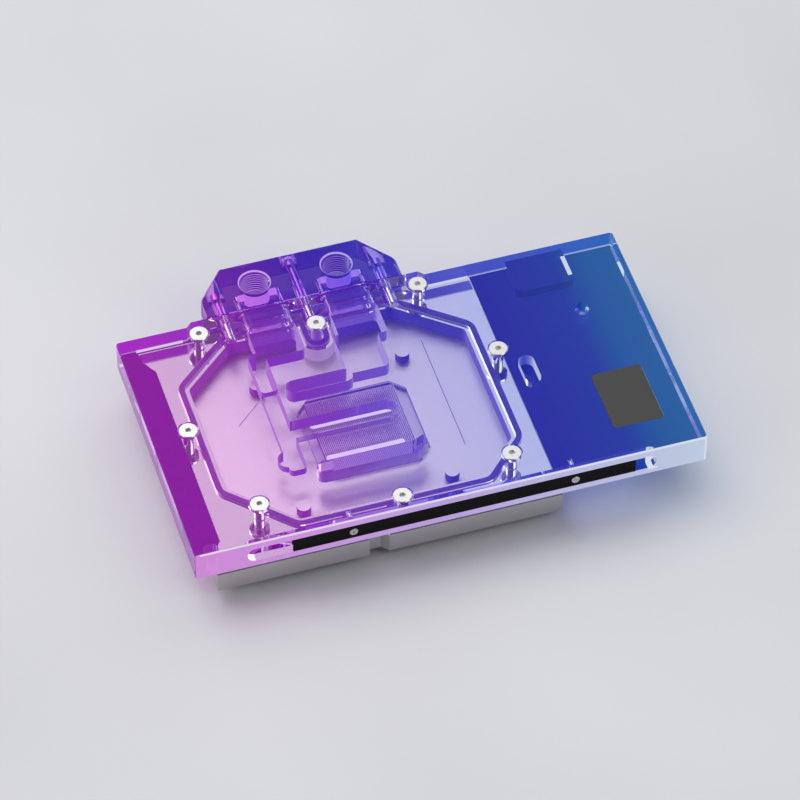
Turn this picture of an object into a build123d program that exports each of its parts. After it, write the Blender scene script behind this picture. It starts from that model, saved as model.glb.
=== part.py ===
from build123d import *
import os

# Sizes are in millimetres. While the pieces are made, X runs along the front edge of the cover
# from its left corner, Y runs towards the back and Z up from the surface that the block stands on.
# save() then moves every piece so that the block is centred over the origin.

# Cover plate, milled from clear sheet
cover_length = 220.0
cover_width = 123.5
cover_thickness = 15.0
cover_corner_radius = 1.5
cover_top_chamfer = 0.5
cover_bottom_chamfer = 1.2
shoulder_left = 31.0
shoulder_right = 136.0
shoulder_depth = 2.5

# Cold plate, plated copper
cold_thickness = 10.0
cold_left = 9.3
cold_right_margin = 7.65
cold_front = 0.6
cold_back_inset = 4.2
cold_waist_cut = 4.1
cold_waist_front = 12.2
cold_waist_back_inset = 11.4
cold_waist_slope = 6.6
cold_ear_step = 1.7
cold_tongue_inset = 5.0
cold_tongue_depth = 2.6
cold_edge_chamfer = 0.4
notch_left = 74.0
notch_width = 8.6
notch_depth = 3.0
chamber_depth = 7.0
chamber_margin = 3.2

# Main seal and its groove in the cover
seal_left = 20.9
seal_right = 148.1
seal_front = 11.0
seal_back_inset = 6.5
seal_corner_front_left = 26.2
seal_corner_front_right = 18.6
seal_corner_back_left_x = 24.8
seal_corner_back_left_y = 22.0
seal_corner_back_right_x = 28.3
seal_corner_back_right_y = 23.1
seal_bend_radius = 6.0
seal_cord = 2.2
seal_side_clearance = 0.2
seal_groove_depth = 1.9
seal_loop_radius = 4.1
seal_loop_length = 14.7
seal_loop_shoulder_radius = 2.0

# Micro channels in the cold plate
fin_pocket_left = 64.6
fin_pocket_right = 113.0
fin_pocket_front = 35.6
fin_pocket_back = 81.0
fin_pocket_corner = 6.0
fin_pocket_depth = 1.6
fin_field_left = 69.4
fin_field_width = 38.4
fin_field_inset = 1.8
fin_pitch = 0.8
fin_thickness = 0.4
fin_height = 2.2

# Card side of the cold plate
post_centre_x = 84.6
post_centre_y = 58.2
post_spacing_x = 64.0
post_spacing_y = 70.0
post_radius = 3.0
post_height = 4.0
pedestal_width = 44.0
pedestal_depth = 44.0
pedestal_height = 3.6
memory_land_width = 12.0
memory_land_length = 46.0
memory_land_gap = 3.0
memory_land_height = 2.6
power_land_inset = 10.75
power_land_width = 16.0
power_land_front = 30.0
power_land_length = 66.0
power_land_height = 2.6
land_edge_chamfer = 0.5

# Standoffs between the cold plate and the card
standoff_length = 5.0
standoff_across_flats = 5.0
standoff_hole_radius = 1.25
standoff_hole_depth = 4.0
standoff_stud_radius = 1.5
standoff_stud_length = 4.0
standoff_stud_clearance = 0.05
edge_standoff_left_inset = 8.3
edge_standoff_right_inset = 3.75
edge_standoff_front_inset = 29.4
edge_standoff_back_inset = 17.8

# Screws that hold the cover down. The right ones are placed from the seal's right side and the
# rear ones from the cover's back.
left_screws = [(16.0, 67.25), (32.9, 20.0), (90.1, 7.2)]
right_screws = [(-8.1, 16.0), (4.5, 73.25)]
rear_right_screws = [(-16.7, 7.25)]
rear_screws = [(83.9, 16.0), (35.0, 7.5)]
cover_head_radius = 4.1
cover_head_height = 2.0
cover_head_chamfer = 0.3
cover_head_clearance = 0.4
cover_socket_flats = 2.5
cover_socket_depth = 1.3
screw_shank_radius = 2.0
screw_hole_clearance = 0.3
screw_thread_clearance = 0.1
screw_tip_clearance = 0.8
cover_screw_grip = 7.0

# Terminal block and its ports
port_centre_x = 83.6
port_spacing = 36.2
port_setback = 13.95
port_bore_radius = 6.58
port_chamfer_radius = 7.1
port_bore_depth = 15.0
terminal_half_width = 43.2
terminal_back_half_width = 30.5
terminal_side_depth = 10.0
terminal_depth = 25.75
terminal_thickness = 22.0
terminal_corner_radius = 7.0
terminal_edge_chamfer = 0.6
tunnel_width = 20.6
tunnel_height = 6.6
tunnel_drop = 7.5
tunnel_reach = 10.45
port_seal_width = 26.8
port_seal_height = 11.6
port_seal_cord = 2.0
port_seal_depth = 1.5

# Screws that hold the terminal block to the cover
terminal_screw_offset = 35.7
terminal_head_radius = 3.5
terminal_head_height = 4.0
terminal_head_chamfer = 0.4
terminal_head_clearance = 0.5
terminal_socket_flats = 3.0
terminal_socket_depth = 2.0
terminal_seat_setback = 10.95
terminal_screw_grip = 12.0
centre_seat_setback = 21.35
centre_screw_grip = 11.0

# Passages under the cover
passage_top_drop = 4.2
passage_corner_radius = 2.0
drop_back_inset = 10.4
drop_length = 17.1
pocket_length = 18.8
pocket_corner_radius = 3.0
left_pocket_left = 51.2
left_pocket_right = 58.6
right_pocket_left = 88.9
right_pocket_right = 107.5
rear_channel_left = 61.8
rear_channel_right = 90.8
rear_channel_front = 76.3
rear_channel_back = 83.2
front_channel_left = 61.4
front_channel_right = 104.1
front_channel_front = 29.9
front_channel_back = 36.4
front_channel_mouth_right = 109.4
front_channel_mouth_front = 33.6
front_channel_mouth_back = 38.8
channel_edge_radius = 0.4
jet_channel_right = 104.0
jet_channel_front = 54.3
jet_channel_back = 63.7
jet_channel_depth = 6.0
feed_channel_front = 37.0
side_channel_left = 47.8
side_channel_front = 39.5
side_channel_back = 48.5

# Guide plate that lies on the fins, with one slot over their middle
guide_thickness = 1.5
guide_side_clearance = 0.4
guide_slot_width = 2.4
guide_slot_inset = 3.0

# Light strip let into the front edge
light_slot_inset = 22.0
light_slot_height = 7.8
light_slot_depth = 4.0
light_slot_drop = 7.5
light_cover_left = 41.2
light_cover_right_inset = 31.4
light_cover_height = 6.6
light_cover_thickness = 1.6
light_board_height = 6.0
light_board_thickness = 0.8
light_board_inset = 1.0
light_chip_size = 3.4
light_chip_thickness = 1.4
light_chip_pitch = 12.0
light_screw_inset = 26.0
light_screw_radius = 1.0
light_screw_hole_clearance = 0.1
light_screw_grip = 6.0
light_head_radius = 1.9
light_head_height = 0.8
light_head_chamfer = 0.2
light_head_clearance = 0.1
light_socket_flats = 1.2
light_socket_depth = 0.5

# Other cuts in the cover
finger_slot_left = 158.3
finger_slot_width = 6.7
finger_slot_front = 50.0
finger_slot_length = 16.3
finger_slot_depth = 6.0
power_pocket_left = 171.6
power_pocket_width = 25.6
power_pocket_length = 18.7
power_pocket_depth = 7.6
power_pocket_radius = 3.0
step_hole_right_inset = 26.0
step_hole_y = 86.0
step_hole_top_radius = 1.8
step_hole_low_radius = 3.0
step_hole_ledge_drop = 3.6
step_hole_cone_height = 1.2
corner_hole_x = 8.0
corner_hole_y = 5.2
corner_hole_radius = 3.2
corner_hole_depth = 8.4

# Badge plate let into the top
badge_right_inset = 13.5
badge_width = 22.1
badge_front = 15.9
badge_length = 31.3
badge_thickness = 0.6
badge_corner_radius = 1.5
badge_clearance = 0.1

# Faces that are screwed together stay this far apart
seat_gap = 0.05

# How far a cut runs past a face, and how close two places count as one
beyond = 1.0
close_by = 0.01

# Heights and places that follow from the sizes above
cold_bottom = standoff_length
cold_top = cold_bottom + cold_thickness
cover_bottom = cold_top + seat_gap
cover_top = cover_bottom + cover_thickness
chamber_floor = cold_top - chamber_depth
tunnel_z = cover_top - tunnel_drop
passage_top = cover_top - passage_top_drop
light_z = cover_top - light_slot_drop
cover_back = cover_width + shoulder_depth
joint_y = cover_back + seat_gap
block_depth = joint_y + terminal_depth
seal_back = cover_back - seal_back_inset
seal_loop_front = seal_back - seal_loop_length
cold_right = seal_right + cold_right_margin
cold_back = cover_back - cold_back_inset
cold_waist_back = cold_back - cold_waist_back_inset
port_places = [(port_centre_x + side * port_spacing / 2, joint_y + port_setback) for side in (-1, 1)]
tunnel_end_y = joint_y + tunnel_reach
terminal_screw_places = [port_centre_x - terminal_screw_offset, port_centre_x + terminal_screw_offset]
terminal_seat_y = joint_y + terminal_seat_setback
centre_seat_y = joint_y + centre_seat_setback
drop_back = cover_back - drop_back_inset
drop_front = drop_back - drop_length
pocket_front = drop_front - pocket_length
light_slot_right = cover_length - light_slot_inset
light_cover_right = cover_length - light_cover_right_inset
light_screw_places = [light_cover_left + light_screw_inset, light_cover_right - light_screw_inset]
step_hole_x = cover_length - step_hole_right_inset
badge_left = cover_length - badge_right_inset - badge_width
power_pocket_front = cover_width - power_pocket_length
cover_screw_places = (
    left_screws
    + [(seal_right + x, y) for x, y in right_screws]
    + [(seal_right + x, cover_back - y) for x, y in rear_right_screws]
    + [(x, cover_back - y) for x, y in rear_screws]
)
edge_standoff_places = [
    (x, y)
    for y in (cold_front + edge_standoff_front_inset, cold_back - edge_standoff_back_inset)
    for x in (cold_left + edge_standoff_left_inset, cold_right - edge_standoff_right_inset)
]


def save(name, shape):
    """Centre a finished piece over the origin and write it."""
    export_step(Pos(-cover_length / 2, -block_depth / 2, 0) * shape, f"parts/{name}.step")


def slab(left, right, front, back, low, high):
    centre = Pos((left + right) / 2, (front + back) / 2, (low + high) / 2)
    return centre * Box(right - left, back - front, high - low)


def pin(x, y, radius, low, high):
    return Pos(x, y, (low + high) / 2) * Cylinder(radius, high - low)


def rod(x, z, radius, front, back):
    """A round bar that lies along Y."""
    return Pos(x, (front + back) / 2, z) * Rot(90, 0, 0) * Cylinder(radius, back - front)


def pocket(left, right, front, back, radius, low, high):
    """An upright block with rounded corners."""
    face = RectangleRounded(right - left, back - front, radius)
    return Pos((left + right) / 2, (front + back) / 2, low) * extrude(face, high - low)


def upright_slot(left, right, front, back, low, high):
    """An upright block whose shorter ends are full half rounds."""
    length, width = max(right - left, back - front), min(right - left, back - front)
    face = SlotOverall(length, width, rotation=0 if right - left > back - front else 90)
    return Pos((left + right) / 2, (front + back) / 2, low) * extrude(face, high - low)


def tunnel(x, z, width, height, front, back):
    """An oblong bar that lies along Y."""
    face = Plane.XZ * SlotOverall(width, height)
    return Pos(x, back, z) * extrude(face, back - front)


def bend_outline(points, radii):
    return make_face(FilletPolyline(*points, radius=radii, close=True))


def hex_bar(flats, low, high):
    face = RegularPolygon(flats / 2, 6, major_radius=False)
    return Pos(0, 0, low) * extrude(face, high - low)


def seal_outline():
    """The middle line of the main seal, with its loop round the middle cover screw."""
    loop_left = middle_cover_screw()[0] - seal_loop_radius
    loop_right = middle_cover_screw()[0] + seal_loop_radius
    points = [
        (seal_left + seal_corner_front_left, seal_front),
        (seal_right - seal_corner_front_right, seal_front),
        (seal_right, seal_front + seal_corner_front_right),
        (seal_right, seal_back - seal_corner_back_right_y),
        (seal_right - seal_corner_back_right_x, seal_back),
        (loop_right, seal_back),
        (loop_right, seal_loop_front),
        (loop_left, seal_loop_front),
        (loop_left, seal_back),
        (seal_left + seal_corner_back_left_x, seal_back),
        (seal_left, seal_back - seal_corner_back_left_y),
        (seal_left, seal_front + seal_corner_front_left),
    ]
    wide = seal_bend_radius
    small = seal_loop_shoulder_radius
    loop = seal_loop_radius - close_by
    return bend_outline(points, [wide, wide, wide, wide, wide, small, loop, loop, small, wide, wide, wide])


def middle_cover_screw():
    """The cover screw that stands between the two ports."""
    return min(cover_screw_places, key=lambda place: abs(place[0] - port_centre_x))


def seal_band(width, low, high):
    """A wall of the given width that follows the seal's middle line."""
    outline = seal_outline()
    ring = offset(outline, width / 2) - offset(outline, -width / 2)
    return Pos(0, 0, low) * extrude(ring, high - low)


def screw(shank_radius, shank_length, head_radius, head_height, socket_flats, socket_depth, head_chamfer):
    """A screw whose head stands on Z = 0, with its shank below."""
    head = Pos(0, 0, head_height / 2) * Cylinder(head_radius, head_height)
    head = chamfer(head.edges().group_by(Axis.Z)[-1], head_chamfer)
    shank = Pos(0, 0, -shank_length / 2) * Cylinder(shank_radius, shank_length)
    shank = chamfer(shank.edges().group_by(Axis.Z)[0], shank_radius / 4)
    return head + shank - hex_bar(socket_flats, head_height - socket_depth, head_height + beyond)


def cover_blank():
    points = [
        (0, 0),
        (cover_length, 0),
        (cover_length, cover_width),
        (shoulder_right, cover_width),
        (shoulder_right - shoulder_depth, cover_back),
        (shoulder_left + shoulder_depth, cover_back),
        (shoulder_left, cover_width),
        (0, cover_width),
    ]
    blank = Pos(0, 0, cover_bottom) * extrude(make_face(Polyline(*points, close=True)), cover_thickness)
    outer = [e for e in blank.edges().filter_by(Axis.Z) if e.center().X in (0, cover_length)]
    corners = [e for e in outer if min(e.center().Y, cover_width - e.center().Y) < beyond]
    blank = fillet(corners, cover_corner_radius)
    blank = chamfer(blank.edges().group_by(Axis.Z)[-1], cover_top_chamfer)
    return chamfer(blank.edges().group_by(Axis.Z)[0], cover_bottom_chamfer)


def cover_screw_cuts():
    seat = cover_top - cover_head_height - seat_gap
    cuts = []
    for x, y in cover_screw_places:
        cuts.append(pin(x, y, screw_shank_radius + screw_hole_clearance, cover_bottom - beyond, seat))
        cuts.append(pin(x, y, cover_head_radius + cover_head_clearance, seat, cover_top + beyond))
    return cuts


def front_channel_outline():
    """Round at its left end, with a mouth that leans outwards at its right end."""
    end = (front_channel_back - front_channel_front) / 2 - close_by
    edge = channel_edge_radius
    points = [
        (front_channel_left, front_channel_front),
        (front_channel_right, front_channel_front),
        (front_channel_mouth_right, front_channel_mouth_front),
        (front_channel_mouth_right, front_channel_mouth_back),
        (front_channel_right, front_channel_back),
        (front_channel_left, front_channel_back),
    ]
    return bend_outline(points, [end, edge, edge, edge, edge, end])


def passage_cuts():
    """Tunnels from the ports, their drops and the channels that feed and drain the fins."""
    low = cover_bottom - beyond
    half = tunnel_width / 2
    (left_x, _), (right_x, _) = port_places
    radius = passage_corner_radius
    pocket_back = drop_front + 2 * radius
    channel_top = cover_bottom + jet_channel_depth
    cuts = []
    for x in (left_x, right_x):
        cuts.append(tunnel(x, tunnel_z, tunnel_width, tunnel_height, drop_back - half, cover_back + beyond))
        cuts.append(pocket(x - half, x + half, drop_front, drop_back, radius, low, passage_top))
    cuts.append(pocket(right_pocket_left, right_pocket_right, pocket_front, pocket_back,
                       pocket_corner_radius, low, passage_top))
    cuts.append(pocket(left_pocket_left, left_pocket_right, pocket_front, pocket_back,
                       radius, low, passage_top))
    cuts.append(upright_slot(rear_channel_left, rear_channel_right, rear_channel_front, rear_channel_back,
                             low, passage_top))
    cuts.append(Pos(0, 0, low) * extrude(front_channel_outline(), passage_top - low))
    cuts.append(upright_slot(left_pocket_left, jet_channel_right, jet_channel_front, jet_channel_back,
                             low, channel_top))
    cuts.append(upright_slot(side_channel_left, left_pocket_right, side_channel_front, side_channel_back,
                             low, channel_top))
    cuts.append(pocket(left_pocket_left, left_pocket_right, feed_channel_front,
                       pocket_front + 2 * radius, radius, low, channel_top))
    return cuts


def light_slot_cut():
    middle = (light_slot_inset + light_slot_right) / 2
    return tunnel(middle, light_z, light_slot_right - light_slot_inset, light_slot_height,
                  -beyond, light_slot_depth)


def step_hole_cut():
    x, y = step_hole_x, step_hole_y
    ledge = cover_top - step_hole_ledge_drop
    cone = Cone(step_hole_low_radius, step_hole_top_radius, step_hole_cone_height)
    return [
        pin(x, y, step_hole_top_radius, ledge - beyond, cover_top + beyond),
        Pos(x, y, ledge - step_hole_cone_height / 2) * cone,
        pin(x, y, step_hole_low_radius, cover_bottom - beyond, ledge - step_hole_cone_height),
    ]


def front_screw_bores():
    """Holes along Y: for the terminal screws from the joint, for the light strip from its slot."""
    thread = screw_shank_radius + screw_thread_clearance
    deep = terminal_screw_grip + screw_tip_clearance
    cuts = [rod(x, tunnel_z, thread, cover_back - deep, cover_back + beyond) for x in terminal_screw_places]
    centre_deep = centre_screw_grip + screw_tip_clearance
    cuts.append(rod(port_centre_x, tunnel_z, thread, cover_back - centre_deep, cover_back + beyond))
    small = light_screw_radius + light_screw_hole_clearance
    light_deep = light_cover_thickness + light_screw_grip + screw_tip_clearance
    cuts += [rod(x, light_z, small, light_slot_depth - beyond, light_deep) for x in light_screw_places]
    return cuts


def cover_plate():
    finger_back = finger_slot_front + finger_slot_length
    finger_right = finger_slot_left + finger_slot_width
    power_right = power_pocket_left + power_pocket_width
    low = cover_bottom - beyond
    cuts = cover_screw_cuts() + passage_cuts() + step_hole_cut() + front_screw_bores()
    cuts += [
        seal_band(seal_cord + 2 * seal_side_clearance, low, cover_bottom + seal_groove_depth),
        light_slot_cut(),
        upright_slot(finger_slot_left, finger_right, finger_slot_front, finger_back,
                     cover_top - finger_slot_depth, cover_top + beyond),
        pocket(power_pocket_left, power_right, power_pocket_front, cover_width + 2 * power_pocket_radius,
               power_pocket_radius, low, cover_bottom + power_pocket_depth),
        pocket(badge_left, badge_left + badge_width, badge_front, badge_front + badge_length,
               badge_corner_radius, cover_top - badge_thickness - seat_gap, cover_top + beyond),
        pin(corner_hole_x, corner_hole_y, corner_hole_radius, low, cover_bottom + corner_hole_depth),
    ]
    plate = cover_blank()
    for cut in cuts:
        plate -= cut
    return plate


def cold_outline():
    waist = cold_left + cold_waist_cut
    ear = cold_right + cold_ear_step
    ear_back = cold_waist_front - cold_waist_slope
    back_ear = cold_waist_back + cold_waist_slope
    tongue_left = shoulder_left + cold_tongue_inset
    tongue_right = shoulder_right - cold_tongue_inset
    tongue_back = cold_back + cold_tongue_depth
    notch_right = notch_left + notch_width
    points = [
        (cold_left, cold_front),
        (notch_left, cold_front),
        (notch_left, cold_front + notch_depth),
        (notch_right - notch_depth, cold_front + notch_depth),
        (notch_right, cold_front),
        (ear, cold_front),
        (ear, ear_back),
        (cold_right, ear_back + cold_ear_step),
        (cold_right, cold_back),
        (tongue_right, cold_back),
        (tongue_right - cold_tongue_depth, tongue_back),
        (tongue_left + cold_tongue_depth, tongue_back),
        (tongue_left, cold_back),
        (cold_left, cold_back),
        (cold_left, back_ear),
        (waist, cold_waist_back),
        (waist, cold_waist_front),
        (cold_left, ear_back),
    ]
    return make_face(Polyline(*points, close=True))


def fin_pocket_outline():
    corner = fin_pocket_corner
    return make_face(Polyline(
        (fin_pocket_left + corner, fin_pocket_front),
        (fin_pocket_right - corner, fin_pocket_front),
        (fin_pocket_right, fin_pocket_front + corner),
        (fin_pocket_right, fin_pocket_back - corner),
        (fin_pocket_right - corner, fin_pocket_back),
        (fin_pocket_left + corner, fin_pocket_back),
        (fin_pocket_left, fin_pocket_back - corner),
        (fin_pocket_left, fin_pocket_front + corner),
        close=True,
    ))


def fins():
    """Thin upright walls along Y that the coolant runs between."""
    low = chamber_floor - fin_pocket_depth
    front = fin_pocket_front + fin_field_inset
    back = fin_pocket_back - fin_field_inset
    count = int(round(fin_field_width / fin_pitch))
    return [slab(fin_field_left + i * fin_pitch, fin_field_left + i * fin_pitch + fin_thickness,
                 front, back, low, low + fin_height) for i in range(count + 1)]


def post_places():
    return [(post_centre_x + side * post_spacing_x / 2, post_centre_y + end * post_spacing_y / 2)
            for end in (-1, 1) for side in (-1, 1)]


def card_side_lands():
    """Raised pads under the plate that reach the card's chip, memory and power stages."""
    x, y = post_centre_x, post_centre_y
    half_x, half_y = pedestal_width / 2, pedestal_depth / 2
    near, far = memory_land_gap, memory_land_gap + memory_land_width
    half_memory = memory_land_length / 2
    memory_low = cold_bottom - memory_land_height
    power_right = cold_right - power_land_inset
    power_left = power_right - power_land_width
    lands = [
        slab(x - half_x, x + half_x, y - half_y, y + half_y, cold_bottom - pedestal_height, cold_bottom),
        slab(x + half_x + near, x + half_x + far, y - half_memory, y + half_memory, memory_low, cold_bottom),
        slab(x - half_x - far, x - half_x - near, y - half_memory, y + half_memory, memory_low, cold_bottom),
        slab(x - half_memory, x + half_memory, y - half_y - far, y - half_y - near, memory_low, cold_bottom),
        slab(power_left, power_right, power_land_front, power_land_front + power_land_length,
             cold_bottom - power_land_height, cold_bottom),
    ]
    return [chamfer(land.edges().group_by(Axis.Z)[0], land_edge_chamfer) for land in lands]


def cold_plate():
    plate = Pos(0, 0, cold_bottom) * extrude(cold_outline(), cold_thickness)
    plate = chamfer(plate.edges().group_by(Axis.Z)[-1], cold_edge_chamfer)
    chamber = offset(seal_outline(), -chamber_margin)
    plate -= Pos(0, 0, chamber_floor) * extrude(chamber, chamber_depth + beyond)
    recess = extrude(fin_pocket_outline(), fin_pocket_depth + beyond)
    plate -= Pos(0, 0, chamber_floor - fin_pocket_depth) * recess
    plate += [pin(x, y, post_radius, chamber_floor, chamber_floor + post_height) for x, y in post_places()]
    plate += fins()
    plate += card_side_lands()
    thread = screw_shank_radius + screw_thread_clearance
    deep = cover_screw_grip + screw_tip_clearance
    for x, y in cover_screw_places:
        plate -= pin(x, y, thread, cold_top - deep, cold_top + beyond)
    stud = standoff_stud_radius + standoff_stud_clearance
    stud_top = cold_bottom + standoff_stud_length + screw_tip_clearance
    for x, y in post_places() + edge_standoff_places:
        plate -= pin(x, y, stud, cold_bottom - beyond, stud_top)
    return plate


def guide_plate():
    """A thin clear lid in the outline of the fins' recess."""
    low = chamber_floor - fin_pocket_depth + fin_height + seat_gap
    face = offset(fin_pocket_outline(), -guide_side_clearance)
    middle = (jet_channel_front + jet_channel_back) / 2
    left = fin_field_left + guide_slot_inset
    right = fin_field_left + fin_field_width - guide_slot_inset
    slot = upright_slot(left, right, middle - guide_slot_width / 2, middle + guide_slot_width / 2,
                        low - beyond, low + guide_thickness + beyond)
    return Pos(0, 0, low) * extrude(face, guide_thickness) - slot


def terminal_outline():
    x = port_centre_x
    side_back = joint_y + terminal_side_depth
    points = [
        (x - terminal_half_width, joint_y),
        (x + terminal_half_width, joint_y),
        (x + terminal_half_width, side_back),
        (x + terminal_back_half_width, block_depth),
        (x - terminal_back_half_width, block_depth),
        (x - terminal_half_width, side_back),
    ]
    return make_face(Polyline(*points, close=True))


def terminal_blank():
    blank = Pos(0, 0, cover_top - terminal_thickness) * extrude(terminal_outline(), terminal_thickness)
    side_back = joint_y + terminal_side_depth
    corners = [e for e in blank.edges().filter_by(Axis.Z) if abs(e.center().Y - side_back) < close_by]
    blank = fillet(corners, terminal_corner_radius)
    rims = blank.edges().group_by(Axis.Z)
    rims = [e for e in rims[-1] + rims[0] if e.center().Y > joint_y + close_by]
    return chamfer(rims, terminal_edge_chamfer)


def port_seal_band(x, front, back):
    outer = tunnel(x, tunnel_z, port_seal_width, port_seal_height, front, back)
    inner_width = port_seal_width - 2 * port_seal_cord
    return outer - tunnel(x, tunnel_z, inner_width, port_seal_height - 2 * port_seal_cord,
                          front - beyond, back + beyond)


def terminal_block():
    block = terminal_blank()
    chamfer_depth = port_chamfer_radius - port_bore_radius
    entry = Cone(port_bore_radius, port_chamfer_radius, chamfer_depth)
    clearance = screw_shank_radius + screw_hole_clearance
    head = terminal_head_radius + terminal_head_clearance
    for x, y in port_places:
        block -= pin(x, y, port_bore_radius, cover_top - port_bore_depth, cover_top + beyond)
        block -= Pos(x, y, cover_top - chamfer_depth / 2) * entry
        block -= tunnel(x, tunnel_z, tunnel_width, tunnel_height, joint_y - beyond, tunnel_end_y)
        block -= port_seal_band(x, joint_y, joint_y + port_seal_depth)
    seats = [terminal_seat_y, terminal_seat_y, centre_seat_y]
    for x, seat in zip(terminal_screw_places + [port_centre_x], seats):
        block -= rod(x, tunnel_z, clearance, joint_y - beyond, seat)
        block -= rod(x, tunnel_z, head, seat, block_depth + beyond)
    return block


def terminal_screw(x, seat, grip):
    made = screw(screw_shank_radius, seat - cover_back + grip, terminal_head_radius, terminal_head_height,
                 terminal_socket_flats, terminal_socket_depth, terminal_head_chamfer)
    return Pos(x, seat + seat_gap, tunnel_z) * Rot(-90, 0, 0) * made


def standoff(x, y):
    face = RegularPolygon(standoff_across_flats / 2, 6, major_radius=False)
    body = Pos(x, y, 0) * extrude(face, standoff_length)
    body += pin(x, y, standoff_stud_radius, cold_bottom, cold_bottom + standoff_stud_length)
    return body - pin(x, y, standoff_hole_radius, -beyond, standoff_hole_depth)


def light_cover():
    middle = (light_cover_left + light_cover_right) / 2
    strip = slab(light_cover_left, light_cover_right, 0, light_cover_thickness,
                 light_z - light_cover_height / 2, light_z + light_cover_height / 2)
    hole = light_screw_radius + light_screw_hole_clearance
    head = light_head_radius + light_head_clearance
    for x in light_screw_places:
        strip -= rod(x, light_z, hole, -beyond, light_cover_thickness + beyond)
        strip -= rod(x, light_z, head, -beyond, light_head_height)
    return strip


def light_chip_places():
    """Every chip that keeps clear of the two screws."""
    left = light_cover_left + light_board_inset + light_chip_pitch / 2
    room = light_cover_right - light_board_inset - left
    places = [left + i * light_chip_pitch for i in range(int(room / light_chip_pitch) + 1)]
    return [x for x in places if min(abs(x - place) for place in light_screw_places) > light_chip_size]


def light_board():
    front = light_cover_thickness
    board = slab(light_cover_left + light_board_inset, light_cover_right - light_board_inset,
                 front, front + light_board_thickness,
                 light_z - light_board_height / 2, light_z + light_board_height / 2)
    hole = light_screw_radius + light_screw_hole_clearance
    for x in light_screw_places:
        board -= rod(x, light_z, hole, -beyond, front + light_board_thickness + beyond)
    half = light_chip_size / 2
    chip_front = front + light_board_thickness
    board += [slab(x - half, x + half, chip_front, chip_front + light_chip_thickness,
                   light_z - half, light_z + half) for x in light_chip_places()]
    return board


def light_screw(x):
    length = light_cover_thickness - light_head_height + light_screw_grip
    made = screw(light_screw_radius, length, light_head_radius, light_head_height,
                 light_socket_flats, light_socket_depth, light_head_chamfer)
    return Pos(x, light_head_height, light_z) * Rot(90, 0, 0) * made


def badge_plate():
    gap = badge_clearance
    return pocket(badge_left + gap, badge_left + badge_width - gap, badge_front + gap,
                  badge_front + badge_length - gap, badge_corner_radius - gap,
                  cover_top - badge_thickness, cover_top)


os.makedirs("parts", exist_ok=True)
save("cover_plate", cover_plate())
save("cold_plate", cold_plate())
save("guide_plate", guide_plate())
save("terminal_block", terminal_block())
save("main_seal", seal_band(seal_cord, cold_top, cold_top + seal_groove_depth))
for side, (x, _) in zip(("left", "right"), port_places):
    save(f"{side}_port_seal", port_seal_band(x, cover_back, cover_back + port_seal_depth))

cover_screw = screw(screw_shank_radius, cover_thickness - cover_head_height + cover_screw_grip,
                    cover_head_radius, cover_head_height, cover_socket_flats, cover_socket_depth,
                    cover_head_chamfer)
for number, (x, y) in enumerate(cover_screw_places, 1):
    save(f"cover_screw_{number}", Pos(x, y, cover_top - cover_head_height) * cover_screw)

for side, x in zip(("left", "right"), terminal_screw_places):
    save(f"terminal_screw_{side}", terminal_screw(x, terminal_seat_y, terminal_screw_grip))
save("terminal_screw_centre", terminal_screw(port_centre_x, centre_seat_y, centre_screw_grip))

for number, (x, y) in enumerate(post_places(), 1):
    save(f"chip_standoff_{number}", standoff(x, y))
for number, (x, y) in enumerate(edge_standoff_places, 1):
    save(f"edge_standoff_{number}", standoff(x, y))

save("light_cover", light_cover())
save("light_board", light_board())
for side, x in zip(("left", "right"), light_screw_places):
    save(f"light_screw_{side}", light_screw(x))
save("badge_plate", badge_plate())
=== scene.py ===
import bpy
import bmesh
import math
from mathutils import Matrix, Vector


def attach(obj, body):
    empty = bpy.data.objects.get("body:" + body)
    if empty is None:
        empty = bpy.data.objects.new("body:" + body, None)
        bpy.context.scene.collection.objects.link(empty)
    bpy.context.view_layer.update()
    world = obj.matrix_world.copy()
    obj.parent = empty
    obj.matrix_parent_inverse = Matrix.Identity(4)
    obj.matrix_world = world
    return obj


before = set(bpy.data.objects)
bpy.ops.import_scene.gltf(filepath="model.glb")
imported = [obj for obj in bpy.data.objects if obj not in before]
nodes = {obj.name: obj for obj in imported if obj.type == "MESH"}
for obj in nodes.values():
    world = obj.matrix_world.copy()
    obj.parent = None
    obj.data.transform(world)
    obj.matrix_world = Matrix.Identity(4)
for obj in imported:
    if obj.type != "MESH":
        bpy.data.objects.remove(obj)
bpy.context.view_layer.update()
mm = 0.001

print("camera and light")

view = {
    "target": (0.0, -13.9, 30.05),   # mm, on the cover's top face
    "azimuth": -17.222,
    "elevation": 47.925,
    "distance": 2161.8,              # mm
    "shiftRight": -3.81,
    "shiftUp": -4.49,
    "lens": 233.7,
    "sensor": 36,
    "clipEnd": 50,                   # m
}


def addObject(name, data):
    thing = bpy.data.objects.new(name, data)
    bpy.context.scene.collection.objects.link(thing)
    return thing


def makeCamera(v):
    az, el = math.radians(v["azimuth"]), math.radians(v["elevation"])
    back = Vector((math.sin(az) * math.cos(el), -math.cos(az) * math.cos(el), math.sin(el)))
    right = Vector((math.cos(az), math.sin(az), 0))
    up = back.cross(right)
    place = Vector(v["target"]) + back * v["distance"]
    place += right * v["shiftRight"] + up * v["shiftUp"]
    data = bpy.data.cameras.new("photoCamera")
    data.sensor_width = v["sensor"]
    data.lens = v["lens"]
    data.clip_end = v["clipEnd"]
    camera = addObject("photoCamera", data)
    turn = Matrix((right, up, back)).transposed().to_4x4()
    camera.matrix_world = Matrix.Translation(place * mm) @ turn
    bpy.context.scene.camera = camera


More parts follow.
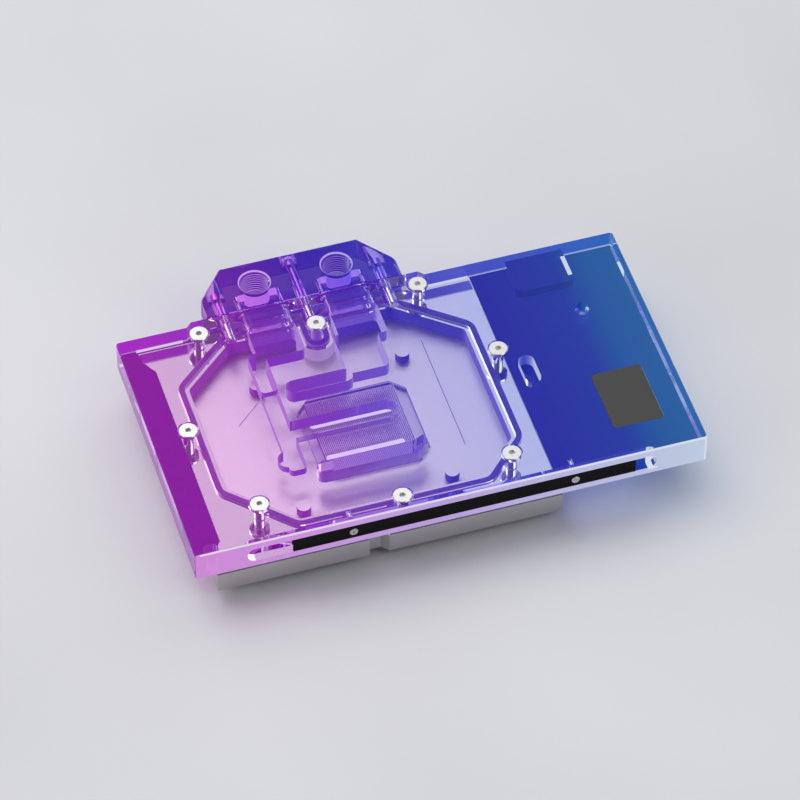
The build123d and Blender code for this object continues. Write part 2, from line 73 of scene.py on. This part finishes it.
light = {
    "front": (0.10, 0.10, 0.12),      # the camera's side of the room is dim
    "back": (0.95, 0.96, 1.0),        # and the softbox wall behind the object is bright
    "between": (-0.15, 0.35),         # along the sky's Y, where dim ends and bright starts
    "worldStrength": 1.0,
    "lamps": {
        "key": {"place": (-0.5, 0.9, 1.4), "size": 1.2, "power": 14},
        "fill": {"place": (0.9, -0.9, 1.2), "size": 1.0, "power": 6},
        "side": {"place": (-1.3, -0.3, 0.7), "size": 0.9, "power": 3},
    },
}


# a socket takes a plain value or another node's output
def feed(tree, socket, value):
    if isinstance(value, bpy.types.NodeSocket):
        tree.links.new(value, socket)
    else:
        socket.default_value = value


def addNode(tree, kind, **values):
    node = tree.nodes.new(kind)
    for key, value in values.items():
        if hasattr(node, key):
            setattr(node, key, value)
        else:
            feed(tree, node.inputs[key], value)
    return node


def makeLights(v):
    world = bpy.data.worlds.new("studio")
    world.use_nodes = True
    tree = world.node_tree
    coords = addNode(tree, "ShaderNodeTexCoord")
    split = addNode(tree, "ShaderNodeSeparateXYZ", Vector=coords.outputs["Generated"])
    dim, bright = v["between"]
    spread = addNode(tree, "ShaderNodeMapRange", **{
        "Value": split.outputs["Y"], "From Min": dim, "From Max": bright})
    ramp = addNode(tree, "ShaderNodeValToRGB", Fac=spread.outputs[0])
    ramp.color_ramp.interpolation = "EASE"
    for stop, colour in zip(ramp.color_ramp.elements, (v["front"], v["back"])):
        stop.color = (*colour, 1)
    sky = tree.nodes["Background"]
    feed(tree, sky.inputs["Color"], ramp.outputs["Color"])
    feed(tree, sky.inputs["Strength"], v["worldStrength"])
    bpy.context.scene.world = world
    for name, spot in v["lamps"].items():
        data = bpy.data.lights.new(name, "AREA")
        data.shape = "SQUARE"
        data.size = spot["size"]
        data.energy = spot["power"]
        place = Vector(spot["place"])
        turn = place.to_track_quat("Z", "Y").to_matrix().to_4x4()
        addObject(name, data).matrix_world = Matrix.Translation(place) @ turn
    bpy.context.scene.view_settings.view_transform = "Standard"


makeCamera(view)
makeLights(light)

print("finishes")


# sRGB steps of 0 to 255 as the linear colour that a socket takes
def shade(*steps):
    linear = [((c / 255 + 0.055) / 1.055) ** 2.4 if c > 10 else c / 3295 for c in steps]
    return (*linear, 1.0)


# one Math node; each value is a number or another node's output
def calc(tree, operation, *values):
    node = addNode(tree, "ShaderNodeMath", operation=operation)
    for socket, value in zip(node.inputs, values):
        feed(tree, socket, value)
    return node.outputs[0]


# shares from 0 to 1: where all of them hold, and where any does
def allOf(tree, first, *others):
    for other in others:
        first = calc(tree, "MULTIPLY", first, other)
    return first


def anyOf(tree, first, *others):
    for other in others:
        first = calc(tree, "MAXIMUM", first, other)
    return first


def mixColour(tree, share, first, second):
    mix = addNode(tree, "ShaderNodeMix", data_type="RGBA", Factor=share, A=first, B=second)
    return mix.outputs["Result"]


def mixShaders(tree, share, under, over):
    mix = addNode(tree, "ShaderNodeMixShader", Fac=share)
    tree.links.new(under.outputs[0], mix.inputs[1])
    tree.links.new(over.outputs[0], mix.inputs[2])
    return mix


def spreadOut(tree, value, low, high):
    spread = addNode(tree, "ShaderNodeMapRange", **{"Value": value, "To Min": low, "To Max": high})
    return spread.outputs[0]


def objectPlace(tree):
    coords = addNode(tree, "ShaderNodeTexCoord")
    return addNode(tree, "ShaderNodeSeparateXYZ", Vector=coords.outputs["Object"]).outputs


colourEnds = (-110, 110)   # mm, the cover's ends, between which every colour runs


# a colour that runs along X; each stop is a place in mm and a colour
def alongX(tree, place, stops):
    low, high = colourEnds
    share = calc(tree, "MULTIPLY_ADD", place["X"], 1 / ((high - low) * mm), -low / (high - low))
    ramp = addNode(tree, "ShaderNodeValToRGB", Fac=share)
    band = ramp.color_ramp.elements
    for at, colour in stops[1:-1]:
        band.new((at - low) / (high - low)).color = shade(*colour)
    for stop, (at, colour) in ((band[0], stops[0]), (band[len(band) - 1], stops[-1])):
        stop.position = (at - low) / (high - low)
        stop.color = shade(*colour)
    return ramp.outputs["Color"]


# 1 inside a box in mm, which may leave an axis open
def insideBox(tree, place, box):
    sides = [calc(tree, operation, place[axis], edge * mm) for axis, ends in box.items()
             for operation, edge in zip(("GREATER_THAN", "LESS_THAN"), ends)]
    return allOf(tree, *sides)


def insideAny(tree, place, boxes):
    return anyOf(tree, *[insideBox(tree, place, box) for box in boxes])


facingLimits = {"square": 0.9, "wall": 0.5}   # of a face's normal along an axis


# how far a face looks along each axis, either way
def facing(tree):
    geometry = addNode(tree, "ShaderNodeNewGeometry")
    normal = addNode(tree, "ShaderNodeSeparateXYZ", Vector=geometry.outputs["Normal"])
    return {axis: calc(tree, "ABSOLUTE", normal.outputs[axis]) for axis in "XYZ"}


def isSquare(tree, face, axis):
    return calc(tree, "GREATER_THAN", face[axis], facingLimits["square"])


def isWall(tree, face):
    return calc(tree, "LESS_THAN", face["Z"], facingLimits["wall"])


# a material with one Principled shader, whose plain values go straight on its sockets
def newFinish(name, **values):
    finish = bpy.data.materials.new(name)
    finish.use_nodes = True
    tree = finish.node_tree
    shader = tree.nodes["Principled BSDF"]
    for key, value in values.items():
        feed(tree, shader.inputs[key], value)
    return finish, tree, shader


def setSurface(tree, shader):
    tree.links.new(shader.outputs[0], tree.nodes["Material Output"].inputs["Surface"])


# fine noise in the object's own coordinates, its scale in grains a metre
def makeGrain(tree, scale, detail=2.0, stretch=(1.0, 1.0, 1.0)):
    coords = addNode(tree, "ShaderNodeTexCoord")
    turned = addNode(tree, "ShaderNodeMapping", Vector=coords.outputs["Object"], Scale=stretch)
    noise = addNode(tree, "ShaderNodeTexNoise", Vector=turned.outputs[0], Scale=scale,
                    Detail=detail)
    return noise.outputs["Fac"]


def addBump(tree, shader, grain, strength, depth):
    bump = addNode(tree, "ShaderNodeBump", Height=grain, Strength=strength, Distance=depth)
    tree.links.new(bump.outputs[0], shader.inputs["Normal"])


# the glowing layer that paints light: a nearly black base with no shine
glowLayer = {"base": (0.01, 0.005, 0.015, 1), "roughness": 0.3, "shine": 0.0}


# painted light: a glowing layer stands in for the light that the edge strip sends through the sheet
# and for reflections in it, given back by a share of the surface
def layPaintedGlow(tree, share, under, colour, glow, roughness=glowLayer["roughness"]):
    over = addNode(tree, "ShaderNodeBsdfPrincipled", **{
        "Base Color": glowLayer["base"], "Roughness": roughness, "Specular IOR Level": glowLayer["shine"],
        "Emission Color": colour, "Emission Strength": glow})
    return mixShaders(tree, share, under, over)


clearSheet = {"ior": 1.49, "sheen": (0.16, 0.15, 0.2, 1)}


def newGlass(name, v, glow=0.0):
    finish, tree, glass = newFinish(name, **{
        "Transmission Weight": 1.0, "IOR": clearSheet["ior"], "Roughness": 0.0,
        "Specular Tint": clearSheet["sheen"], "Emission Strength": glow})
    place = objectPlace(tree)
    # painted light: the glass is tinted along X with the colours of the edge strip's light
    ledTint = alongX(tree, place, v["ledTint"])
    feed(tree, glass.inputs["Base Color"], ledTint)
    return finish, tree, glass, place, ledTint


# shadows of clear pieces take the painted light's tint, so light reaches what lies under them
def clearShadow(tree, ledTint, surface):
    path = addNode(tree, "ShaderNodeLightPath")
    clear = addNode(tree, "ShaderNodeBsdfTransparent", Color=ledTint)
    setSurface(tree, mixShaders(tree, path.outputs["Is Shadow Ray"], surface, clear))


def dress(finish, *names):
    for name in names:
        mesh = nodes[name].data
        mesh.materials.clear()
        mesh.materials.append(finish)


channelHeight = (15.2, 25.7)   # mm, the passages' walls in the cover

acrylic = {
    # painted light: the first run tints the glass along X with the edge strip's colours, pink at
    # the left to pale blue at the right, and the whole sheet glows faintly
    "ledTint": [(-110, (235, 218, 231)), (-60, (232, 217, 232)), (0, (227, 224, 238)),
             (45, (222, 226, 243)), (110, (216, 232, 247))],
    "glow": 0.12,
    # painted shade and glow: the flat undersides beside the cold plate, the power pocket and the
    # low edges get a nearly black layer glowing in a deep colour
    "deepShadeGlow": [(-110, (142, 8, 163)), (-60, (130, 6, 165)), (0, (72, 14, 166)), (45, (28, 36, 164)),
             (80, (26, 56, 162)), (95, (26, 90, 160)), (110, (28, 96, 158))],
    "deepGlow": 0.85,
    "underside": 15.3,
    "plateRight": 45.75,
    "plateLeft": {"waist": -96.6, "ear": -100.7, "middle": -14.6, "straight": 49.1, "sloped": 55.7},
    "powerPocket": {"X": (61, 88), "Y": (28, 50.2), "Z": (22, 23.5)},
    "lowEdges": [{"X": (45.75, 111), "Y": (46, 50.5), "Z": (15, 15.7)},
                 {"X": (-111, -72), "Y": (45.9, 50.5), "Z": (15, 15.7)},
                 {"X": (-111, -100.7), "Y": (-77, 50.5), "Z": (15, 15.9)}],
    "pocketFront": {"X": (61, 88), "Y": (28, 32), "Z": (15.2, 22.6)},
    "pocketGlow": 0.66,
    # painted glow on upright walls, for the strip's light and the reflections that show on them:
    # "wall" where they look along Y and "side" where they look along X
    "wall": [(-97, (172, 36, 206)), (-45, (126, 48, 192)), (-30, (120, 56, 193)),
             (-12, (112, 82, 206)), (30, (80, 80, 204)), (110, (40, 100, 190))],
    "side": [(-62, (188, 130, 220)), (-45, (184, 136, 222)), (-10, (180, 160, 228)),
             (3, (176, 164, 228)), (48, (205, 208, 244)), (90, (214, 228, 244))],
    "wallGlow": 0.9,
    # painted glow on the passages' walls, each box with its share
    "passages": [   # a box and its share
        ({"X": (-63.5, -50.9), "Y": (-47, 40.5), "Z": channelHeight}, 1.0),    # side channel
        ({"X": (-50.9, 3), "Y": (0.3, 40.5), "Z": channelHeight}, 1.0),        # drops and feed
        ({"X": (-50.9, 3), "Y": (-38.7, -0.1), "Z": channelHeight}, 0.5),      # over the fins
        ({"X": (-50.9, 3), "Y": (-47, -44.2), "Z": channelHeight}, 0.65),      # front channel
        ({"X": (-92, 41), "Y": (-68, 46), "Z": (15, 15.9)}, 0.9),              # seal groove
        ({"X": (84.4, 88.5), "Y": (-75, -71), "Z": (18, 27)}, 0.6),            # light slot's end
        ({"X": (48, 55.5), "Y": (-22.5, -9), "Z": (24.2, 29.8)}, 0.8),         # slot in the top
    ],
    # painted reflection: the back face, seen from inside, glows in the wall colours
    "back": [{"X": (-111, -71), "Y": (47.2, 50.5)}, {"X": (18.5, 111), "Y": (47.2, 50.5)}],
    "backShare": 0.92,
    # painted image of the fins, which show through the front channel's back wall as glowing leaning
    # stripes
    "finImage": {"X": (-40.7, -6.4), "Y": (-40, -38.9), "Z": channelHeight},
    "finImagePitch": 0.8,
    "finImageLean": 0.26,
    "finImagePale": [(-40, (184, 142, 224)), (-6, (160, 142, 228))],
    "finImageDark": [(-40, (146, 92, 206)), (-6, (112, 92, 208))],
    # painted glow on the front rim, where the strip's light comes out of the sheet
    "front": {"Y": (-77, -75.2)},
    "rim": [(-110, (222, 150, 228)), (0, (200, 176, 234)), (110, (206, 222, 240))],
    "rimShare": 0.88,
    "rimGlow": 0.9,
    "rimRoughness": 0.15,
    # painted highlights: edges that catch the light glow pale
    "brightEdges": [{"X": (85.3, 87.3), "Y": (32.2, 43.5), "Z": (22.5, 23)},      # power pocket
                    {"X": (20, 45.2), "Y": (46.2, 47.7), "Z": (15.3, 16.3)},      # rear low edge
                    {"X": (-101.4, -81), "Y": (46.2, 47.7), "Z": (15.3, 16.3)},   # and at the left
                    {"X": (-108, 110), "Y": (-76, -75.3), "Z": (29.45, 30.03)},   # front top edge
                    {"X": (108.8, 110.1), "Y": (-76, -74.3), "Z": (15.5, 30)},    # front corner
                    {"X": (84.3, 88.2), "Y": (-76, -71.8), "Z": (18.5, 19.5)},    # light slot
                    {"X": (84.3, 88.2), "Y": (-72.1, -71.8), "Z": (18.5, 26.6)}],
    "edge": [(-110, (236, 224, 240)), (110, (224, 234, 244))],
    "edgeGlow": 0.9,
}


# where the cover reaches past the cold plate, whose left end narrows to a waist
def besidePlate(tree, place, v):
    right = calc(tree, "GREATER_THAN", place["X"], v["plateRight"] * mm)
    outline = v["plateLeft"]
    off = calc(tree, "ABSOLUTE", calc(tree, "SUBTRACT", place["Y"], outline["middle"] * mm))
    plateEnd = addNode(tree, "ShaderNodeMapRange", **{
        "Value": off, "From Min": outline["straight"] * mm, "From Max": outline["sloped"] * mm,
        "To Min": outline["waist"] * mm, "To Max": outline["ear"] * mm})
    left = calc(tree, "LESS_THAN", place["X"], plateEnd.outputs[0])
    low = calc(tree, "LESS_THAN", place["Z"], v["underside"] * mm)
    return allOf(tree, anyOf(tree, right, left), low)


# painted image of the fins: leaning stripes in two colours
def paintFinImage(tree, place, v):
    along = calc(tree, "ADD", place["X"], calc(tree, "MULTIPLY", place["Z"], v["finImageLean"]))
    turns = calc(tree, "MULTIPLY", along, 2 * math.pi / (v["finImagePitch"] * mm))
    pale = calc(tree, "GREATER_THAN", calc(tree, "SINE", turns), 0)
    return mixColour(tree, pale, alongX(tree, place, v["finImageDark"]),
                     alongX(tree, place, v["finImagePale"]))


def makeAcrylic(v):
    finish, tree, glass, place, ledTint = newGlass("tintedAcrylic", v, v["glow"])
    deepShadeGlow, wall, side, rim, edge = [alongX(tree, place, v[run])
                                   for run in ("deepShadeGlow", "wall", "side", "rim", "edge")]
    # painted glow: the whole sheet glows faintly in the deep colour
    feed(tree, glass.inputs["Emission Color"], deepShadeGlow)
    face = facing(tree)
    # painted glow on the front rim
    atFront = allOf(tree, insideBox(tree, place, v["front"]), v["rimShare"])
    surface = layPaintedGlow(tree, atFront, glass, rim, v["rimGlow"], v["rimRoughness"])
    # painted glow and reflection on the passages' walls and the back face
    inPassage = anyOf(tree, *[allOf(tree, insideBox(tree, place, box), share)
                              for box, share in v["passages"]])
    inPassage = allOf(tree, inPassage, isWall(tree, face))
    atBack = allOf(tree, insideAny(tree, place, v["back"]), face["Y"], v["backShare"])
    paintedWallGlow = mixColour(tree, face["Y"], side, wall)
    surface = layPaintedGlow(tree, anyOf(tree, inPassage, atBack), surface, paintedWallGlow, v["wallGlow"])
    # painted shade and glow in the deep colour where no metal lies below, in the power pocket and
    # on the low edges
    deepShadeArea = anyOf(tree, besidePlate(tree, place, v), insideBox(tree, place, v["powerPocket"]))
    deepShadeArea = allOf(tree, isSquare(tree, face, "Z"), deepShadeArea)
    deepShadeArea = anyOf(tree, deepShadeArea, insideAny(tree, place, v["lowEdges"]))
    surface = layPaintedGlow(tree, deepShadeArea, surface, deepShadeGlow, v["deepGlow"])
    # painted glow in the deep colour on the power pocket's front wall
    inFront = insideBox(tree, place, v["pocketFront"])
    surface = layPaintedGlow(tree, inFront, surface, deepShadeGlow, v["pocketGlow"])
    # painted image of the fins on the front channel's back wall
    onFinImage = insideBox(tree, place, v["finImage"])
    surface = layPaintedGlow(tree, onFinImage, surface, paintFinImage(tree, place, v), v["wallGlow"])
    # painted highlights on the edges
    onEdge = insideAny(tree, place, v["brightEdges"])
    surface = layPaintedGlow(tree, onEdge, surface, edge, v["edgeGlow"])
    clearShadow(tree, ledTint, surface)
    return finish


terminal = {
    # painted light: the block's glass is tinted violet along X with the strip's colours and glows
    # faintly
    "ledTint": [(-70, (226, 150, 240)), (-26, (196, 150, 244)), (17, (170, 160, 244))],
    "glow": 0.06,
    # painted shade and glow: the block's bottom and bores get a nearly black layer glowing in this
    # deep colour
    "deepShadeGlow": [(-70, (104, 10, 158)), (-45, (92, 10, 160)), (-26, (60, 16, 162)),
             (-5, (48, 28, 166)), (17, (64, 54, 180))],
    "paintedGlowStrength": 0.9,
    "bottom": {"Z": (7, 10)},
    "bottomShare": 0.85,
    "bores": {"Y": (50.6, 75), "Z": (10, 29.5)},
    "boreShare": 0.5,
    # painted highlights: the ports' chamfers glow pale
    "rims": [{"X": (-52.5, -36.5), "Y": (56, 72.2), "Z": (29.35, 30.02)},
             {"X": (-16.3, -0.3), "Y": (56, 72.2), "Z": (29.35, 30.02)}],
    "rim": [(-52, (226, 150, 246)), (0, (180, 160, 250))],
    "rimShare": 0.7,
    # painted highlights: the pale glowing ends and flanks of the tunnels, and the block's top
    # chamfer
    "cap": [(-55, (252, 214, 252)), (-20, (238, 214, 252)), (2, (222, 216, 252))],
    "capGlow": 0.95,
    "tunnelEnds": {"Y": (60.4, 60.8), "Z": (21.5, 25.9)},
    "tunnelFlanks": {"Y": (50.6, 60.4), "Z": (22.1, 23.1)},
    "tunnelShare": 0.85,
    "brim": {"Y": (50.6, 76.5), "Z": (29.4, 30.03)},
    "brimShare": 0.3,
}


def makeTerminal(v):
    finish, tree, glass, place, ledTint = newGlass("terminalAcrylic", v, v["glow"])
    deepShadeGlow, rim, cap = [alongX(tree, place, v[run]) for run in ("deepShadeGlow", "rim", "cap")]
    feed(tree, glass.inputs["Emission Color"], deepShadeGlow)
    face = facing(tree)
    sloped = calc(tree, "SUBTRACT", 1, isSquare(tree, face, "Z"))
    # painted shade and glow on the bottom and in the bores, painted highlights on the port
    # chamfers, tunnels and brim
    below = allOf(tree, insideBox(tree, place, v["bottom"]), v["bottomShare"])
    bores = allOf(tree, insideBox(tree, place, v["bores"]), isWall(tree, face), v["boreShare"])
    surface = layPaintedGlow(tree, anyOf(tree, below, bores), glass, deepShadeGlow, v["paintedGlowStrength"])
    atRim = allOf(tree, insideAny(tree, place, v["rims"]), sloped, v["rimShare"])
    surface = layPaintedGlow(tree, atRim, surface, rim, v["paintedGlowStrength"])
    ends = allOf(tree, insideBox(tree, place, v["tunnelEnds"]), isSquare(tree, face, "Y"))
    flanks = allOf(tree, insideBox(tree, place, v["tunnelFlanks"]), isSquare(tree, face, "X"))
    pale = allOf(tree, anyOf(tree, ends, flanks), v["tunnelShare"])
    brim = allOf(tree, insideBox(tree, place, v["brim"]), sloped, v["brimShare"])
    surface = layPaintedGlow(tree, anyOf(tree, pale, brim), surface, cap, v["capGlow"])
    clearShadow(tree, ledTint, surface)
    return finish


guide = {
    # painted light: the guide plate's glass is tinted faintly, and its upright edges glow with the
    # strip's colours
    "ledTint": [(-70, (248, 238, 252)), (17, (240, 240, 252))],
    "rim": [(-45, (176, 140, 214)), (3, (160, 146, 220))],
    "rimShare": 0.85,
    "rimGlow": 0.8,
}


def makeGuide(v):
    finish, tree, glass, place, ledTint = newGlass("guideAcrylic", v)
    # painted glow on the upright edges
    edge = allOf(tree, isWall(tree, facing(tree)), v["rimShare"])
    rim = alongX(tree, place, v["rim"])
    clearShadow(tree, ledTint, layPaintedGlow(tree, edge, glass, rim, v["rimGlow"]))
    return finish


nickel = {
    "floorColour": (0.62, 0.61, 0.605, 1),
    "floorRoughness": 0.36,
    "landFrom": 14.5,                # mm, the polished top lies above this height
    "landColour": (0.82, 0.81, 0.8, 1),
    "landRoughness": 0.08,
    "grain": 900,
    "grainDetail": 3.0,
    "grainStretch": (0.12, 1.0, 1.0),
    "grainSpread": (0.8, 1.25),      # of the roughness
    "bump": 0.01,
    "bumpDepth": 0.0002,
    # painted light: the chamber's walls and the fins glow with the sheet's colours, standing in for
    # its light and reflections
    "wall": [(-90, (150, 22, 172)), (-57, (138, 36, 180)), (-20, (78, 42, 188)),
             (6, (34, 26, 178)), (40, (22, 18, 170))],
    "side": [(-90, (190, 90, 205)), (-57, (170, 80, 200)), (6, (92, 80, 202)),
             (40, (118, 108, 212))],
    "wallGlow": 0.8,
    "chamber": {"X": (-91, 40), "Y": (-66, 44.5), "Z": (6.3, 15)},
    "finField": {"X": (-40.7, -2.1), "Y": (-38.6, 3.4), "Z": (6.3, 8.4)},
    "finShare": 0.95,
    # painted glow: the island's walls glow pale, as light as the floor round them
    "island": {"X": (-33.5, -18.8), "Y": (20, 40), "Z": (6.3, 15)},
    "islandShare": 0.8,
    "islandWall": [(-34, (206, 172, 226)), (-18, (186, 166, 226))],
}


def makeNickel(v):
    finish, tree, metal = newFinish("nickelPlate", Metallic=1.0)
    place = objectPlace(tree)
    onLand = calc(tree, "GREATER_THAN", place["Z"], v["landFrom"] * mm)
    tone = mixColour(tree, onLand, v["floorColour"], v["landColour"])
    grain = makeGrain(tree, v["grain"], v["grainDetail"], v["grainStretch"])
    level = calc(tree, "MULTIPLY_ADD", onLand, v["landRoughness"] - v["floorRoughness"],
                 v["floorRoughness"])
    roughness = calc(tree, "MULTIPLY", spreadOut(tree, grain, *v["grainSpread"]), level)
    feed(tree, metal.inputs["Base Color"], tone)
    feed(tree, metal.inputs["Roughness"], roughness)
    addBump(tree, metal, grain, v["bump"], v["bumpDepth"])
    # painted glow on the chamber's walls, the fins and the island
    face = facing(tree)
    upright = isWall(tree, face)
    onIsland = allOf(tree, insideBox(tree, place, v["island"]), upright)
    inChamber = allOf(tree, insideBox(tree, place, v["chamber"]), upright,
                      calc(tree, "SUBTRACT", 1, onIsland))
    inFins = allOf(tree, insideBox(tree, place, v["finField"]), v["finShare"])
    paintedWallGlow = mixColour(tree, face["Y"], alongX(tree, place, v["side"]),
                      alongX(tree, place, v["wall"]))
    surface = layPaintedGlow(tree, anyOf(tree, inChamber, inFins), metal, paintedWallGlow, v["wallGlow"])
    surface = layPaintedGlow(tree, allOf(tree, onIsland, v["islandShare"]), surface,
                      alongX(tree, place, v["islandWall"]), v["wallGlow"])
    setSurface(tree, surface)
    return finish


# painted light: the dark rubber glows with the strip's colours along X
seal = {
    "base": (0.012, 0.006, 0.02, 1),
    "roughness": 0.6,
    "colours": [(-90, (140, 8, 168)), (-30, (82, 10, 166)), (40, (26, 12, 160))],
    "glow": 0.8,
    "grain": 1500,
    "bump": 0.15,
    "bumpDepth": 0.0001,
}


# painted light: a plain surface that glows with a colour along X
def newGlowing(name, v):
    finish, tree, skin = newFinish(name, **{
        "Base Color": v["base"], "Roughness": v["roughness"], "Emission Strength": v["glow"]})
    feed(tree, skin.inputs["Emission Color"], alongX(tree, objectPlace(tree), v["colours"]))
    return finish, tree, skin


def makeSeal(v):
    finish, tree, rubber = newGlowing("sealRubber", v)
    addBump(tree, rubber, makeGrain(tree, v["grain"]), v["bump"], v["bumpDepth"])
    return finish


screwSteel = {
    "colour": (0.68, 0.67, 0.665, 1),
    "roughness": (0.21, 0.364),
    "grain": 1200,
    "grainDetail": 4.0,
}


def makeSteel(name, v):
    finish, tree, metal = newFinish(name, **{"Metallic": 1.0, "Base Color": v["colour"]})
    grain = makeGrain(tree, v["grain"], v["grainDetail"])
    feed(tree, metal.inputs["Roughness"], spreadOut(tree, grain, *v["roughness"]))
    return finish


lightStrip = {"colour": (4, 3, 5), "roughness": 0.15, "shine": 0.1, "grain": 400}
lightBoard = {"colour": (222, 222, 226), "roughness": 0.5, "shine": 0.5, "grain": 900}
badge = {"colour": (43, 43, 42), "roughness": 0.35, "shine": 0.5, "grain": 2500}
plasticGrain = {"detail": 3.0, "dark": 0.92, "pale": 1.08, "bump": 0.08, "bumpDepth": 0.0001}


def makePlastic(name, v):
    finish, tree, skin = newFinish(name, **{
        "Roughness": v["roughness"], "Specular IOR Level": v["shine"]})
    grain = makeGrain(tree, v["grain"], plasticGrain["detail"])
    ramp = addNode(tree, "ShaderNodeValToRGB", Fac=grain)
    for stop, tone in zip(ramp.color_ramp.elements, ("dark", "pale")):
        stop.color = shade(*[min(c * plasticGrain[tone], 255) for c in v["colour"]])
    feed(tree, skin.inputs["Base Color"], ramp.outputs["Color"])
    addBump(tree, skin, grain, plasticGrain["bump"], plasticGrain["bumpDepth"])
    return finish


dress(makeAcrylic(acrylic), "cover_plate")
dress(makeTerminal(terminal), "terminal_block")
dress(makeGuide(guide), "guide_plate")
dress(makeNickel(nickel), "cold_plate")
dress(makeSeal(seal), "main_seal", "left_port_seal", "right_port_seal")
dress(makeSteel("screwSteel", screwSteel),
      *[name for name in nodes if "_screw_" in name or "standoff" in name])
dress(makePlastic("blackStrip", lightStrip), "light_cover")
dress(makePlastic("whiteBoard", lightBoard), "light_board")
dress(makePlastic("badgeFace", badge), "badge_plate")

# the bright bars are painted highlights, and the lines are dark lines with a painted glow
print("port threads, bright bars and scribed lines")


def meshObject(name, bm, finish):
    mesh = bpy.data.meshes.new(name)
    bm.to_mesh(mesh)
    bm.free()
    mesh.materials.append(finish)
    return addObject(name, mesh)


def newPiece(name, bm, finish):
    bmesh.ops.recalc_face_normals(bm, faces=bm.faces)
    piece = meshObject(name, bm, finish)
    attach(piece, "root")


# a G1/4 thread: one ridge that winds down the bore
thread = {
    "places": [("leftPortThread", -44.5), ("rightPortThread", -8.3)],   # mm along X
    "y": 64.1,
    "top": 28.9,
    "bore": 6.55,
    "depth": 0.8,
    "pitch": 1.337,
    "turns": 8,
    "steps": 40,          # a turn
    "root": 0.44,         # of the pitch, half the ridge's width at the bore
    "crest": 0.11,        # mm, half the ridge's width at its crest
    "base": (0.06, 0.02, 0.12, 1),
    "roughness": 0.15,
    "glow": 0.8,
    # painted light and shade: the ridge glows, pale on its crests as a highlight and dark violet on
    # its flanks as shade
    "crestColours": [(-52, (255, 214, 255)), (-36, (240, 190, 255)), (0, (168, 150, 250))],
    "flankColours": [(-52, (112, 24, 176)), (-36, (90, 18, 172)), (0, (44, 24, 160))],
}


def makeThreadFinish(v):
    finish, tree, ridge = newFinish("threadAcrylic", **{
        "Base Color": v["base"], "Roughness": v["roughness"], "Emission Strength": v["glow"]})
    place = objectPlace(tree)
    # painted highlight on the crests, painted shade on the flanks
    colour = mixColour(tree, isWall(tree, facing(tree)), alongX(tree, place, v["flankColours"]),
                       alongX(tree, place, v["crestColours"]))
    feed(tree, ridge.inputs["Emission Color"], colour)
    return finish


def makeThread(v, finish):
    root, crest, inner = v["pitch"] * v["root"], v["crest"], v["bore"] - v["depth"]
    outline = [(v["bore"], root), (inner, crest), (inner, -crest), (v["bore"], -root)]
    for name, x in v["places"]:
        bm = bmesh.new()
        corners = [bm.verts.new(((x + r) * mm, v["y"] * mm, (v["top"] + z) * mm))
                   for r, z in outline]
        edges = [bm.edges.new(pair) for pair in zip(corners, corners[1:] + corners[:1])]
        bmesh.ops.contextual_create(bm, geom=edges)
        wound = bmesh.ops.spin(bm, geom=edges, cent=(x * mm, v["y"] * mm, 0), axis=(0, 0, 1),
                               dvec=(0, 0, -v["pitch"] * mm / v["steps"]),
                               angle=2 * math.pi * v["turns"], steps=v["steps"] * v["turns"],
                               use_merge=False, use_duplicate=False)
        end = [item for item in wound["geom_last"] if isinstance(item, bmesh.types.BMEdge)]
        bmesh.ops.contextual_create(bm, geom=end)
        newPiece(name, bm, finish)


makeThread(thread, makeThreadFinish(thread))

# painted highlights: two long low glowing bars over the fins, with rounded ends, stand in for
# bright streaks of light
bars = {
    "runs": {"brightBack": {"from": (-41.7, -8.4), "to": (-5.9, -8.4), "width": 3.0},
             "brightFront": {"from": (-40.7, -29.6), "to": (-6.7, -29.6), "width": 2.7}},
    "low": 10.2,
    "high": 10.6,
    "base": (0.6, 0.56, 0.66, 1),
    "roughness": 0.2,
    "colours": [(-45, (226, 224, 236)), (0, (220, 224, 238))],
    "glow": 0.5,
}
# two thin dark lines on the chamber's floor, with a painted glow in the strip's colours
lines = {
    "runs": {"darkLineRight": {"from": (17.3, -37.1), "to": (17.3, 24.5), "width": 0.3},
             "darkLineLeft": {"from": (-70.0, 0.4), "to": (-58.7, 10.7), "width": 0.3}},
    "low": 8.0,
    "high": 8.05,
    "base": (0.05, 0.02, 0.1, 1),
    "roughness": 0.5,
    "colours": [(-70, (150, 60, 185)), (17, (80, 70, 190))],
    "glow": 0.5,
}
barEnds = {"share": 0.49, "segments": 5}   # the rounding, as a share of the width


def makeBars(v, finish):
    for name, run in v["runs"].items():
        start, end = [Vector((*run[key], 0)) for key in ("from", "to")]
        along = end - start
        bm = bmesh.new()
        bmesh.ops.create_cube(bm, size=1)
        size = Vector((along.length, run["width"], v["high"] - v["low"])) * mm
        bmesh.ops.scale(bm, vec=size, verts=bm.verts)
        upright = [e for e in bm.edges if e.verts[0].co.xy == e.verts[1].co.xy]
        bmesh.ops.bevel(bm, geom=upright, offset=run["width"] * barEnds["share"] * mm,
                        offset_type="OFFSET", segments=barEnds["segments"], profile=0.5,
                        affect="EDGES", material=-1, clamp_overlap=True)
        middle = (start + end) / 2 + Vector((0, 0, (v["low"] + v["high"]) / 2))
        turn = Matrix.Rotation(math.atan2(along.y, along.x), 4, "Z")
        bmesh.ops.transform(bm, matrix=Matrix.Translation(middle * mm) @ turn, verts=bm.verts)
        newPiece(name, bm, finish)


# the bars glow as painted highlights
makeBars(bars, newGlowing("paintedHighlightBar", bars)[0])
# the dark lines carry a painted glow
makeBars(lines, newGlowing("glowingDarkLine", lines)[0])

print("floor")

floorSheet = {"half": 3.0, "colour": (214, 214, 216), "roughness": 0.7, "shine": 0.5, "grain": 3}


def makeFloor(v):
    bm = bmesh.new()
    bmesh.ops.create_grid(bm, x_segments=1, y_segments=1, size=v["half"])
    meshObject("floor", bm, makePlastic("paleFloor", v))


makeFloor(floorSheet)
